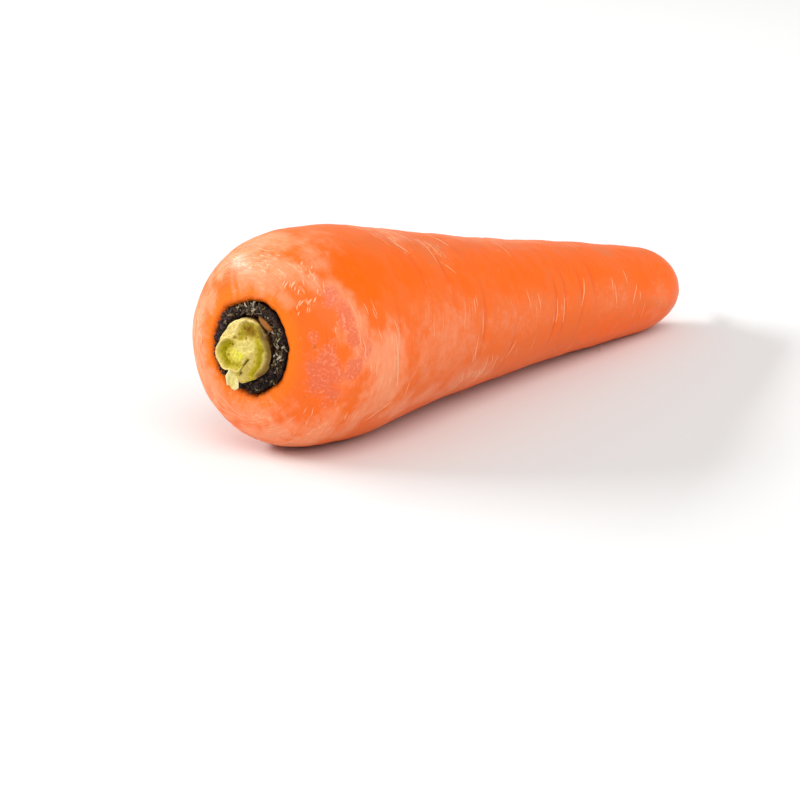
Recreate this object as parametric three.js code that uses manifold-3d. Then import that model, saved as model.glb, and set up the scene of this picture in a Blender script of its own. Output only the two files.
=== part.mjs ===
import * as THREE from 'three';
import { mergeVertices } from 'three/addons/utils/BufferGeometryUtils.js';
import Module from 'manifold-3d';

// A washed carrot lying on its side: the taproot, the dried ring of old leaf bases in its
// crown, and the cut leaf stalks inside that ring. Millimetres, +Z up, crown towards -X.
// Places along the root are measured from its crown face. Angles round it start at its
// upper side and turn towards -Y, in degrees.

// Root
const rootLength = 177;          // crown face to the blunt end
const shoulderRadius = 25;
const shoulderAt = 22.4;         // where the root is widest
const shoulderExponent = 3.1;    // how square the shoulder is
const crownFaceShare = 0.23;     // share of the radius where the shoulder curve starts
const taperDrop = 0.51;          // share of the radius lost before the blunt tip
const tipDomeLength = 18.1;
const tipExponent = 1.9;
const rootBow = 1.4;             // the middle lies this much above a straight line
const axisTilt = 5.37;           // degrees, tip down, so shoulder and tip both rest
const crownHeight = 26.12;       // of the middle of the crown face above the floor
const crownCentre = [-91.38, -0.254];

// Recess in the crown face
const recessDepth = 3.4;
const recessFloorRadius = 9.6;
const recessRimRadius = 12.4;

// Thin end of the root
const tailLength = 11.3;
const tailBaseRadius = 1.75;
const tailEndRadius = 0.8;
const tailSide = 3.4;            // bends this far away from -Y
const tailDroop = 2.6;

// Ring of dried leaf bases
const ringInnerRadius = 6.95;
const ringOuterRadius = 10.35;
const gap = 0.3;                 // between pieces that touch

// Cut leaf stalks
const plugRadius = 6.5;
const stalkFlare = 0.055;        // spread for each millimetre above the ring

const rootSegments = 56;
const ringSegments = 60;
const degree = Math.PI / 180;

const axis = new THREE.Vector3(Math.cos(axisTilt * degree), 0, -Math.sin(axisTilt * degree));
const up = new THREE.Vector3(Math.sin(axisTilt * degree), 0, Math.cos(axisTilt * degree));
const side = new THREE.Vector3(0, -1, 0);
const crown = new THREE.Vector3(crownCentre[0], crownCentre[1], crownHeight);

function seededRandom(seed) {
  let state = seed;
  return () => {
    state = (state * 1664525 + 1013904223) % 4294967296;
    return state / 4294967296;
  };
}

// Shallow folds across the skin: place, middle angle, half its reach round the root, and depth.
const folds = [
  { at: 23.6, angle: 100, reach: 30, depth: 0.26 },
  { at: 36.5, angle: 24, reach: 26, depth: 0.34 },
  { at: 47.8, angle: 36, reach: 28, depth: 0.3 },
  { at: 60, angle: 18, reach: 22, depth: 0.24 },
  { at: 61.2, angle: 88, reach: 26, depth: 0.2 },
  { at: 76.8, angle: 112, reach: 26, depth: 0.24 },
  { at: 96.6, angle: 90, reach: 34, depth: 0.26 },
  { at: 101, angle: 88, reach: 30, depth: 0.22 },
  { at: 109.6, angle: 76, reach: 32, depth: 0.24 },
  { at: 116.3, angle: 60, reach: 22, depth: 0.2 },
];
const hiddenFolds = 14;
const foldRandom = seededRandom(31);
for (let i = 0; i < hiddenFolds; i += 1) {
  folds.push({
    at: 30 + (125 * (i + 0.7 * foldRandom())) / hiddenFolds,
    angle: 190 + 130 * foldRandom(),
    reach: 20 + 26 * foldRandom(),
    depth: 0.16 + 0.2 * foldRandom(),
  });
}
const foldWidth = 1.1;

function taperAt(s) {
  const u = Math.max(0, (s - shoulderAt) / (rootLength - tipDomeLength - shoulderAt));
  return Math.pow(u, 0.8) * (1 - Math.exp(-Math.pow(u / 0.14, 1.5)));
}

// Radius of the plain root, before swellings and folds.
function rootRadius(s) {
  let radius = shoulderRadius * (1 - taperDrop * taperAt(s));
  if (s < shoulderAt) {
    const rest = 1 - Math.pow(1 - s / shoulderAt, shoulderExponent);
    radius *= crownFaceShare + (1 - crownFaceShare) * Math.pow(rest, 1 / shoulderExponent);
  }
  const intoTip = (s - (rootLength - tipDomeLength)) / tipDomeLength;
  if (intoTip > 0) {
    radius *= Math.pow(Math.max(0, 1 - Math.pow(intoTip, tipExponent)), 1 / tipExponent);
  }
  return radius;
}

// Slow swellings of the grown root and the folds across it.
function swelling(s, angle) {
  const slow = 0.2 * Math.sin(2 * angle + 0.6) + 0.16 * Math.sin(3 * angle - s / 35 + 1.2);
  const waves = 0.13 * Math.sin(s / 9.5 + 1.6 * Math.sin(angle + 0.8));
  const ripples = 0.07 * Math.sin(s / 3.3 + 1.4 * Math.sin(2 * angle));
  let height = slow + waves + ripples;
  for (const fold of folds) {
    const away = THREE.MathUtils.euclideanModulo(angle / degree - fold.angle + 180, 360) - 180;
    const across = (s - fold.at) / foldWidth;
    const round = away / fold.reach;
    height -= fold.depth * Math.exp(-across * across - round * round);
  }
  const pastCrown = THREE.MathUtils.smoothstep(s, 2, 16);
  const beforeTail = 1 - THREE.MathUtils.smoothstep(s, rootLength - 12, rootLength);
  return height * pastCrown * beforeTail;
}

function placeOnRoot(s, radius, angle, target) {
  const along = THREE.MathUtils.clamp(s / rootLength, 0, 1);
  const intoTail = Math.max(0, (s - rootLength + 1) / (tailLength + 1));
  const rise = 4 * rootBow * along * (1 - along) - tailDroop * Math.pow(intoTail, 2);
  const drift = -tailSide * Math.pow(intoTail, 1.6);
  target.copy(crown).addScaledVector(axis, s);
  target.addScaledVector(up, radius * Math.cos(angle) + rise);
  target.addScaledVector(side, radius * Math.sin(angle) + drift);
  target.z = Math.max(target.z, 0);  // the belly is pressed flat where it rests
  return target;
}

// Joins the seam of a geometry and drops the empty triangles on its axis.
function closed(geometry) {
  geometry.deleteAttribute('normal');
  geometry.deleteAttribute('uv');
  const merged = mergeVertices(geometry, 1e-4);
  const from = merged.index.array;
  const kept = [];
  for (let i = 0; i < from.length; i += 3) {
    const [a, b, c] = [from[i], from[i + 1], from[i + 2]];
    if (a !== b && b !== c && c !== a) kept.push(a, b, c);
  }
  merged.setIndex(kept);
  return merged;
}

// Turns a lathe made round Y into place: its height runs along the root, its turn round it.
function bendLathe(geometry, move) {
  const position = geometry.attributes.position;
  const point = new THREE.Vector3();
  for (let i = 0; i < position.count; i += 1) {
    const radius = Math.hypot(position.getX(i), position.getZ(i));
    const angle = Math.atan2(position.getX(i), position.getZ(i));
    move(position.getY(i), radius, angle, point);
    position.setXYZ(i, point.x, point.y, point.z);
  }
  return closed(geometry);
}

function rootStations() {
  const stations = [];
  const domeRows = 13;
  for (let i = 0; i <= domeRows; i += 1) {
    const turn = THREE.MathUtils.lerp(0.19, Math.PI / 2, i / domeRows);
    const rest = Math.pow(Math.cos(turn), 2 / shoulderExponent);
    stations.push(shoulderAt * (1 - rest));
  }
  const bodyEnd = rootLength - tipDomeLength;
  const rowPitch = 3.6;
  for (let s = shoulderAt + rowPitch; s < bodyEnd; s += rowPitch) stations.push(s);
  const tipRows = 9;
  for (let i = 0; i < tipRows; i += 1) {
    stations.push(bodyEnd + tipDomeLength * Math.sin((i / tipRows) * (Math.PI / 2)));
  }
  return stations;
}

function makeRoot() {
  const rimDepth = 0.27;
  const profile = [
    new THREE.Vector2(0, recessDepth),
    new THREE.Vector2(recessFloorRadius * 0.6, recessDepth),
    new THREE.Vector2(recessFloorRadius, recessDepth),
    new THREE.Vector2(ringOuterRadius + 0.05, recessDepth - 0.45),
    new THREE.Vector2(ringOuterRadius + gap + 0.1, 1.6),
    new THREE.Vector2(ringOuterRadius + 0.95, 0.78),
    new THREE.Vector2(recessRimRadius - 0.6, 0.42),
    new THREE.Vector2(recessRimRadius, rimDepth),
  ];
  for (const s of rootStations()) {
    if (rootRadius(s) > recessRimRadius + 0.8 || s > shoulderAt) {
      profile.push(new THREE.Vector2(rootRadius(s), s));
    }
  }
  const tailRows = 7;
  for (let i = 0; i <= tailRows; i += 1) {
    const share = i / tailRows;
    const radius = THREE.MathUtils.lerp(tailBaseRadius, tailEndRadius, Math.pow(share, 0.6));
    profile.push(new THREE.Vector2(radius, rootLength - 0.1 + tailLength * share));
  }
  profile.push(new THREE.Vector2(tailEndRadius * 0.6, rootLength + tailLength + 0.35));
  profile.push(new THREE.Vector2(0, rootLength + tailLength + 0.5));
  return bendLathe(new THREE.LatheGeometry(profile, rootSegments), (s, radius, angle, point) => {
    const lift = swelling(s, angle) * Math.min(1, radius / 12);
    placeOnRoot(s, radius + lift, angle, point);
  });
}

// The ring: flat below, heaped and ragged above.
function makeRing() {
  const random = seededRandom(7);
  const phases = [0, 1, 2, 3].map(() => 2 * Math.PI * random());
  const floor = recessDepth - gap;
  const outline = [
    [ringInnerRadius, floor],
    [ringInnerRadius, 1.5],
    [ringInnerRadius + 0.25, 0.75],
    [ringInnerRadius + 0.9, 0.3],
    [ringInnerRadius + 1.8, 0.25],
    [ringInnerRadius + 2.6, 0.5],
    [ringOuterRadius - 0.2, 1],
    [ringOuterRadius, 1.6],
    [ringOuterRadius - 0.3, floor - 0.4],
    [recessFloorRadius - 0.1, floor],
    [ringInnerRadius, floor],
  ];
  const profile = outline.map(([radius, s]) => new THREE.Vector2(radius, s));
  return bendLathe(new THREE.LatheGeometry(profile, ringSegments), (s, radius, angle, point) => {
    let heap = 0.16 * Math.sin(17 * angle + phases[0]) + 0.14 * Math.sin(11 * angle + phases[1]);
    heap += 0.12 * Math.sin(29 * angle + phases[2]) + 0.1 * Math.sin(5 * angle + phases[3]);
    const lift = heap * (1 - THREE.MathUtils.smoothstep(s, 0.4, 1.4));
    placeOnRoot(s - lift, radius, angle, point);
  });
}

const wasm = await Module();
wasm.setup();

function toManifold(geometry) {
  const merged = closed(geometry);
  return new wasm.Manifold(new wasm.Mesh({
    numProp: 3,
    vertProperties: new Float32Array(merged.attributes.position.array),
    triVerts: new Uint32Array(merged.index.array),
  }));
}

// A slab cut square to the root's axis, from one height above the crown face to another.
function slab(shape, low, high, curveSegments = 16) {
  const geometry = new THREE.ExtrudeGeometry(shape, {
    depth: high - low,
    bevelEnabled: false,
    curveSegments,
  });
  geometry.translate(0, 0, low);
  return toManifold(geometry);
}

// Part of a ring in the crown face: angles as round the root.
function band(centre, inner, outer, fromAngle, toAngle) {
  const start = (90 - fromAngle) * degree;
  const end = (90 - toAngle) * degree;
  const shape = new THREE.Shape();
  shape.absarc(centre[0], centre[1], outer, start, end, true);
  shape.absarc(centre[0], centre[1], inner, end, start, false);
  shape.closePath();
  return shape;
}

function disc(centre, radius) {
  const shape = new THREE.Shape();
  shape.absarc(centre[0], centre[1], radius, 0, 2 * Math.PI, false);
  return shape;
}

// The cut stalks, wrapped round each other and grown together at their foot.
function makeStalks() {
  const innerStalk = [-1.75, -0.95];
  const foot = gap - recessDepth;
  const heights = { plug: 0.9, sheath: 3.7, pith: 3.1, valley: 1.7, rib: 3, wall: 2.3 };
  let joined = slab(disc([0, 0], plugRadius), foot, heights.plug, 24);
  const slabs = [
    slab(band([0, 0], 4.4, 5.6, -80, 48), 0, heights.sheath),
    slab(disc([0.9, 1.3], 3.5), 0, heights.pith),
    slab(band([0, 0], 3, 6.3, 44, 170), 0, heights.valley),
    slab(band([0, 0], 3, 4.1, 60, 168), 0, heights.rib),
    slab(band([0, 0], 5.4, 6.45, 50, 160), 0, heights.wall),
    slab(disc(innerStalk, 2.7), 0, 3.9),
    slab(band(innerStalk, 2.35, 3.25, 0.5, 359.5), 0, 4.5, 24),
    slab(disc([innerStalk[0] + 0.35, innerStalk[1]], 1.25), 0, 4.3),
  ];
  const tongue = new THREE.Shape();
  tongue.moveTo(-2.6, -4.6);
  tongue.lineTo(-3.5, -8.2);
  tongue.lineTo(-2.1, -9.3);
  tongue.lineTo(-0.8, -7.9);
  tongue.lineTo(0.4, -4.8);
  tongue.closePath();
  slabs.push(slab(tongue, 0.15, 1));
  for (const piece of slabs) joined = joined.add(piece);
  const mesh = joined.getMesh();
  const geometry = new THREE.BufferGeometry();
  const stride = mesh.numProp;
  const position = new Float32Array((mesh.vertProperties.length / stride) * 3);
  const point = new THREE.Vector3();
  for (let i = 0; i < position.length / 3; i += 1) {
    const [x, y, height] = mesh.vertProperties.subarray(i * stride, i * stride + 3);
    const spread = 1 + stalkFlare * Math.max(0, height + 0.3);
    point.copy(crown).addScaledVector(side, x * spread);
    point.addScaledVector(up, y * spread).addScaledVector(axis, -height);
    point.toArray(position, i * 3);
  }
  geometry.setAttribute('position', new THREE.BufferAttribute(position, 3));
  geometry.setIndex(new THREE.BufferAttribute(new Uint32Array(mesh.triVerts), 1));
  return geometry;
}

const nodes = [
  ['root', makeRoot(), 0xf2762b, 0.42],
  ['leaf_base_ring', makeRing(), 0x2a201c, 0.9],
  ['stalk_stub', makeStalks(), 0xd3cf68, 0.6],
];

const carrot = new THREE.Group();
carrot.name = 'carrot';
for (const [name, geometry, color, roughness] of nodes) {
  const material = new THREE.MeshStandardMaterial({ color, roughness, metalness: 0 });
  const mesh = new THREE.Mesh(geometry, material);
  mesh.name = name;
  carrot.add(mesh);
}

export default carrot;
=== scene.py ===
import math
import random

import bpy
import numpy as np
from mathutils import Matrix, Vector


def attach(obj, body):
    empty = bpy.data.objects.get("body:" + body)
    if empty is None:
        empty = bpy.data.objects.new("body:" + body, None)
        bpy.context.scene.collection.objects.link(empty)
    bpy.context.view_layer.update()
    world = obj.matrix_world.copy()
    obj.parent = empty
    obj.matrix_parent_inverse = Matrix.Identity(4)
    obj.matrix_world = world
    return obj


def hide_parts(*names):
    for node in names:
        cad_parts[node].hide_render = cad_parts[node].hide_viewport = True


# A washed carrot lying on its side, seen from its crown end.
# Sizes are in millimetres and turned to metres when a mesh is made. Places on the root are
# given as the distance from its crown face and the angle round it, in degrees: 0 is its
# upper side and 90 its side towards -Y.

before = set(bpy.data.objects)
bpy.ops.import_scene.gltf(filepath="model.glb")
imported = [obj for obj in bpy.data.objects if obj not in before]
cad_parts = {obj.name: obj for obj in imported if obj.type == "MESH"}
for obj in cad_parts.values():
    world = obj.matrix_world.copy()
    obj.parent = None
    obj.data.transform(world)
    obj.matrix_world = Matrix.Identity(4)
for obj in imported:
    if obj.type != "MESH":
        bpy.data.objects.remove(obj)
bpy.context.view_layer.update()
print("frame loaded:", sorted(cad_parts))

mm = 0.001

view = {
    "azimuth": -51.35,           # degrees, as the camera stands round the carrot
    "elevation": 15.5,
    "lens": 91.7,                # mm on a 36 mm wide sensor
    "crownInView": (-33.7, 11.8, 450.0),  # crown face from the lens: right, up and ahead
}

root = {
    "length": 177.0,             # crown face to the blunt end
    "shoulderRadius": 25.0,
    "shoulderAt": 22.4,
    "shoulderExponent": 3.1,
    "crownFaceShare": 0.23,
    "taperDrop": 0.51,
    "tipDomeLength": 18.1,
    "tipExponent": 1.9,
    "bow": 1.4,
    "axisTilt": 5.37,
    "crown": (-91.38, -0.254, 26.12),
    "recessDepth": 3.4,
    "recessFloorRadius": 9.6,
    "recessRimRadius": 12.4,
    "tailLength": 11.3,
    "tailBaseRadius": 1.75,
    "tailEndRadius": 0.8,
    "tailSide": 3.4,
    "tailDroop": 2.6,
    "ringInnerRadius": 6.95,
    "ringOuterRadius": 10.35,
    "gap": 0.3,
    "foldWidth": 1.1,
    "hiddenFolds": 14,
    # how far the skin's rim stands out from, or comes in over, the ring: angle and mm
    "lip": [(-140, -0.7), (-110, -0.5), (-90, -0.7), (-71, -1.0), (-51, -0.55), (-24, -1.35),
            (3, -1.0), (22, -0.1), (40, -0.15), (63, 0.0), (84, 0.15), (122, 0.15), (143, -0.35),
            (166, -0.25), (188, -0.9)],
    "lipRipples": [(0.12, 9, 1), (0.09, 17, 2), (0.05, 31, 0)],  # height, number round, phase
    "slimmer": 0.09,             # the skin stays this far inside the measured box
}

tilt = math.radians(root["axisTilt"])
axisAlong = np.array([math.cos(tilt), 0.0, -math.sin(tilt)])
axisUp = np.array([math.sin(tilt), 0.0, math.cos(tilt)])
axisSide = np.array([0.0, -1.0, 0.0])
crownPoint = np.array(root["crown"])


def linearColour(hexText):
    # sRGB hex to the linear colour that a shader takes
    parts = [int(hexText[i:i + 2], 16) / 255 for i in (1, 3, 5)]
    linear = [c / 12.92 if c <= 0.04045 else ((c + 0.055) / 1.055) ** 2.4 for c in parts]
    return (*linear, 1.0)


def smoothStep(value, low, high):
    t = np.clip((value - low) / (high - low), 0, 1)
    return t * t * (3 - 2 * t)


def seededRandom(seed):
    state = seed
    while True:
        state = (state * 1664525 + 1013904223) % 4294967296
        yield state / 4294967296


def degreesFrom(angle, middle):
    # how far round an angle in radians lies from one in degrees, -180 to 180
    return (np.degrees(angle) - middle + 180) % 360 - 180


def layeredRelief(points, layers):
    # a smooth random relief: each layer adds plane waves with a seed, a wavelength in mm,
    # a number of waves, a height, and a squeeze of the pattern in x, y and z
    flat = points.reshape(-1, 3)
    total = np.zeros(len(flat))
    for seed, wavelength, count, height, squeeze in layers:
        draw = np.random.default_rng(seed)
        direction = draw.normal(size=(count, 3))
        direction /= np.linalg.norm(direction, axis=1)[:, None]
        lengths = wavelength * draw.uniform(0.7, 1.5, size=count)
        push = direction * (2 * math.pi / lengths)[:, None]
        phase = draw.uniform(0, 2 * math.pi, size=count)
        layer = np.zeros(len(flat))
        for k in range(count):
            layer += np.sin(flat * squeeze @ push[k] + phase[k])
        total += height * layer / math.sqrt(count / 2) / 1.6
    return total.reshape(points.shape[:-1])


# Form of the root, the same as the solid's

foldKeys = ("at", "angle", "reach", "depth")  # mm, degrees, degrees and mm
seenFolds = [
    (23.6, 100, 30, 0.26), (36.5, 24, 26, 0.34), (47.8, 36, 28, 0.3), (60, 18, 22, 0.24),
    (61.2, 88, 26, 0.2), (76.8, 112, 26, 0.24), (96.6, 90, 34, 0.26), (101, 88, 30, 0.22),
    (109.6, 76, 32, 0.24), (116.3, 60, 22, 0.2),
]
folds = [dict(zip(foldKeys, fold)) for fold in seenFolds]
foldRandom = seededRandom(31)
for foldIndex in range(root["hiddenFolds"]):
    at = 30 + (125 * (foldIndex + 0.7 * next(foldRandom))) / root["hiddenFolds"]
    angle, reach = 190 + 130 * next(foldRandom), 20 + 26 * next(foldRandom)
    folds.append(dict(zip(foldKeys, (at, angle, reach, 0.16 + 0.2 * next(foldRandom)))))


def plainRadius(s):
    # radius of the root without swellings, for an array of distances from the crown face
    s = np.asarray(s, dtype=float)
    bodyEnd = root["length"] - root["tipDomeLength"]
    u = np.maximum(0, (s - root["shoulderAt"]) / (bodyEnd - root["shoulderAt"]))
    taper = u ** 0.8 * (1 - np.exp(-(u / 0.14) ** 1.5))
    radius = root["shoulderRadius"] * (1 - root["taperDrop"] * taper)
    power = root["shoulderExponent"]
    rest = 1 - np.clip(1 - s / root["shoulderAt"], 0, 1) ** power
    radius *= root["crownFaceShare"] + (1 - root["crownFaceShare"]) * rest ** (1 / power)
    intoTip = np.clip((s - bodyEnd) / root["tipDomeLength"], 0, 1)
    return radius * (1 - intoTip ** root["tipExponent"]) ** (1 / root["tipExponent"])


def foldShare(fold, s, angle, width):
    across = (s - fold["at"]) / width
    around = degreesFrom(angle, fold["angle"]) / fold["reach"]
    return np.exp(-across ** 2 - around ** 2)


def swelling(s, angle):
    height = 0.2 * np.sin(2 * angle + 0.6) + 0.16 * np.sin(3 * angle - s / 35 + 1.2)
    height = height + 0.13 * np.sin(s / 9.5 + 1.6 * np.sin(angle + 0.8))
    height = height + 0.07 * np.sin(s / 3.3 + 1.4 * np.sin(2 * angle))
    for fold in folds:
        height = height - fold["depth"] * foldShare(fold, s, angle, root["foldWidth"])
    return height * smoothStep(s, 2, 16) * (1 - smoothStep(s, root["length"] - 12, root["length"]))


def onRoot(s, radius, angle):
    # points in the part's frame, mm
    s, radius, angle = np.broadcast_arrays(np.asarray(s, float), radius, angle)
    along = np.clip(s / root["length"], 0, 1)
    intoTail = np.maximum(0, (s - root["length"] + 1) / (root["tailLength"] + 1))
    rise = 4 * root["bow"] * along * (1 - along) - root["tailDroop"] * intoTail ** 2
    drift = -root["tailSide"] * intoTail ** 1.6
    points = crownPoint + s[..., None] * axisAlong
    points = points + (radius * np.cos(angle) + rise)[..., None] * axisUp
    points = points + (radius * np.sin(angle) + drift)[..., None] * axisSide
    points[..., 2] = np.maximum(points[..., 2], 0)
    return points


def addMesh(name, points, faces, material, smooth=True):
    mesh = bpy.data.meshes.new(name)
    mesh.from_pydata((np.asarray(points) * mm).tolist(), [], faces)
    mesh.validate()
    mesh.update()
    if smooth:
        mesh.polygons.foreach_set("use_smooth", np.ones(len(mesh.polygons), dtype=bool))
    mesh.materials.append(material)
    piece = bpy.data.objects.new(name, mesh)
    bpy.context.scene.collection.objects.link(piece)
    return piece


def addValues(piece, name, values):
    # one number, or one vector, for each vertex, read by the material
    kind, field = ("FLOAT", "value") if values.ndim == 1 else ("FLOAT_VECTOR", "vector")
    layer = piece.data.attributes.new(name, kind, "POINT")
    layer.data.foreach_set(field, np.ascontiguousarray(values, dtype=np.float32).ravel())


def gridFaces(rows, around, first=0):
    # quads between closed rows of points, facing out for rows towards the tip
    r = np.arange(rows - 1)[:, None] * around + first
    a = np.arange(around)[None, :]
    b = (a + 1) % around
    quads = np.stack([r + a, r + b, r + around + b, r + around + a], axis=-1)
    return quads.reshape(-1, 4)


def addNode(tree, kind, values=None, links=None, **settings):
    node = tree.nodes.new("ShaderNode" + kind)
    for name, value in settings.items():
        setattr(node, name, value)
    for socket, value in (values or {}).items():
        node.inputs[socket].default_value = value
    for socket, source in (links or {}).items():
        tree.links.new(source, node.inputs[socket])
    return node


def startMaterial(name):
    material = bpy.data.materials.new(name)
    material.use_nodes = True
    material.node_tree.nodes.clear()
    return material, material.node_tree


# Skin material

skinLook = {
    "paleOrange": "#f16c22",
    "brightOrange": "#fd6600",
    "haloOrange": "#fc7614",
    "hazeAndSheenPink": "#f8966a",      # dry haze, and painted sheen and reflection
    "rubbedPink": "#e06c4a",
    "rubbedSpeck": "#f9a27c",
    "flakeAndSheenCream": "#fbc49a",
    "ringAndFoldShadeOrange": "#e04800",
    "rimStainAndShade": "#6a2608",
    "tailBrown": "#b4561e",
    "roughness": 0.42,
    "rubbedRoughness": 0.55,
    "specular": 0.08,            # little shine of its own, the wet film gives most
    "coat": 0.14,                # thin film of water left by washing
    "coatRoughness": 0.17,
    "glow": 0.25,                # share of light that passes under the skin
    "glowDepth": 1.8,            # mm, for red light
    "ringStretch": (1.0, 0.1, 0.1),  # the rings are drawn out round the root
    # cycles in a millimetre, detail and roughness of each pattern
    "patterns": {
        "mottle": (0.07, 4.0, 0.6),       # broad shades, 14 mm
        "blotch": (0.3, 5.0, 0.7),        # edges of the haze, 3 mm
        "middleGrain": (0.9, 4.0, 0.65),
        "rings": (0.8, 6.0, 0.65),        # growth rings, 1.2 mm apart
        "fineRings": (2.4, 4.0, 0.6),     # wrinkles of the skin, 0.4 mm
        "grain": (2.0, 3.0, 0.6),         # corky cells, drawn far coarser so that they show
        "fineGrain": (4.0, 2.0, 0.6),
        "specks": (1.5, 3.0, 0.5),
    },
    # first term, then what is added to it: source, factor and offset
    "sums": {
        "brightSum": ("bright", ("mottle", 1.6, -0.8)),
        "hazeAndSheenSum": ("bloom", ("blotch", 1.1, -0.55), ("middleGrain", 0.35, -0.175),
                    ("rings", 0.45, -0.225)),
        "streakSum": ("fineRings", ("bloom", 0.16, 0.0)),
        "rubbedSum": ("rubbed", ("blotch", 0.9, -0.45), ("middleGrain", 0.6, -0.3)),
        "flakeAndSheenSum": ("flake", ("fineRings", 1.6, -0.8)),
        "relief": ("fineRings", ("rings", 1.6, 0.0), ("grain", 0.5, 0.0)),
    },
    # coats over the pale orange, each as strong as the product of its shares; a share is
    # a source that rises from 0 to its last number between the two in the middle
    "coats": [
        ("brightOrange", [("brightSum", 0.05, 0.75, 1.0)]),
        ("haloOrange", ["halo"]),
        ("ringAndFoldShadeOrange", [("rings", 0.54, 0.78, 0.4)]),
        # painted shade in the folds
        ("ringAndFoldShadeOrange", ["crease"]),
        # dry haze, with painted sheen and reflection in it: mottled, with orange islands, and
        # drawn out into fine rings
        ("hazeAndSheenPink", [("hazeAndSheenSum", 0.08, 1.0, 1.0), ("bloom", 0.02, 0.3, 0.92)]),
        ("flakeAndSheenCream", [("streakSum", 0.62, 0.86, 0.36)]),
        # rubbed patches: ragged edges, light specks inside and round them
        ("rubbedPink", [("rubbedSum", 0.16, 0.62, 0.8)]),
        ("rubbedSpeck", [("specks", 0.5, 0.66, 1.0), ("fineGrain", 0.36, 0.6, 0.62),
                         ("rubbedSum", 0.1, 0.36, 1.0)]),
        # dry flakes, and painted streaks of sheen by the shoulder's highlight: thin pale streaks
        # that lie across the root
        ("flakeAndSheenCream", [("flakeAndSheenSum", 0.42, 0.9, 0.8), ("middleGrain", 0.42, 0.6, 1.0)]),
        # brown stain with painted shade on the recess wall
        ("rimStainAndShade", ["stain", ("middleGrain", 0.3, 0.65, 0.75)]),
        ("tailBrown", ["tail", ("grain", 0.3, 0.6, 0.9)]),
    ],
}
paintedShares = ("rubbed", "bloom", "flake", "bright", "halo", "stain", "tail", "crease")


def makeSkinMaterial():
    # Washed carrot periderm: a thin smooth skin over wet orange flesh. It gives the eye a
    # saturated orange that glows in the shade, soft broad highlights, fine rings of paler
    # skin across the root, a dry pinkish haze that also carries painted sheen and reflection,
    # painted shade in its folds and on the recess wall, and dull speckled patches where it
    # was rubbed.
    material, tree = startMaterial("washedCarrotSkin")
    # skinPlace holds millimetres: along the skin, then round the root
    place = addNode(tree, "Attribute", attribute_name="skinPlace").outputs["Vector"]
    ringPlace = addNode(tree, "VectorMath", {1: skinLook["ringStretch"]}, {0: place},
                        operation="MULTIPLY").outputs[0]
    fields = {}
    for name in paintedShares:
        fields[name] = addNode(tree, "Attribute", attribute_name=name).outputs["Fac"]
    for name, (scale, detail, roughness) in skinLook["patterns"].items():
        settings = {"Scale": scale, "Detail": detail, "Roughness": roughness}
        vector = ringPlace if name.lower().endswith("rings") else place
        noise = addNode(tree, "TexNoise", settings, {"Vector": vector})
        fields[name] = noise.outputs["Fac"]
    for name, (first, *terms) in skinLook["sums"].items():
        total = fields[first]
        for source, factor, offset in terms:
            term = addNode(tree, "Math", {1: factor, 2: offset}, {0: fields[source]},
                           operation="MULTIPLY_ADD")
            total = addNode(tree, "Math", {}, {0: total, 1: term.outputs[0]},
                            operation="ADD").outputs[0]
        fields[name] = total
    colour, strengths = None, {}
    for name, shares in skinLook["coats"]:
        strength = None
        for share in shares:
            if isinstance(share, str):
                factor = fields[share]
            else:
                source, low, high, most = share
                factor = addNode(tree, "MapRange", {1: low, 2: high, 4: most},
                                 {0: fields[source]}, interpolation_type="SMOOTHSTEP").outputs[0]
            if strength is None:
                strength = factor
            else:
                strength = addNode(tree, "Math", {}, {0: strength, 1: factor},
                                   operation="MULTIPLY").outputs[0]
        strengths[name] = strength
        values = {6: linearColour(skinLook["paleOrange"]), 7: linearColour(skinLook[name])}
        links = {0: strength} if colour is None else {0: strength, 6: colour}
        colour = addNode(tree, "Mix", values, links, data_type="RGBA").outputs[2]
    rough = addNode(tree, "MapRange",
                    {3: skinLook["roughness"], 4: skinLook["rubbedRoughness"]},
                    {0: strengths["rubbedPink"]}).outputs[0]
    bump = addNode(tree, "Bump", {"Strength": 0.7, "Distance": 0.16 * mm},
                   {"Height": fields["relief"]})
    shader = addNode(tree, "BsdfPrincipled", {
        "IOR": 1.42,
        "Subsurface Weight": skinLook["glow"],
        "Subsurface Radius": (1.0, 0.35, 0.1),
        "Subsurface Scale": skinLook["glowDepth"] * mm,
        "Specular IOR Level": skinLook["specular"],
        "Coat Weight": skinLook["coat"],
        "Coat Roughness": skinLook["coatRoughness"],
    }, {"Base Color": colour, "Roughness": rough, "Normal": bump.outputs[0]})
    addNode(tree, "OutputMaterial", {}, {"Surface": shader.outputs[0]})
    return material


# Skin

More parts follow.
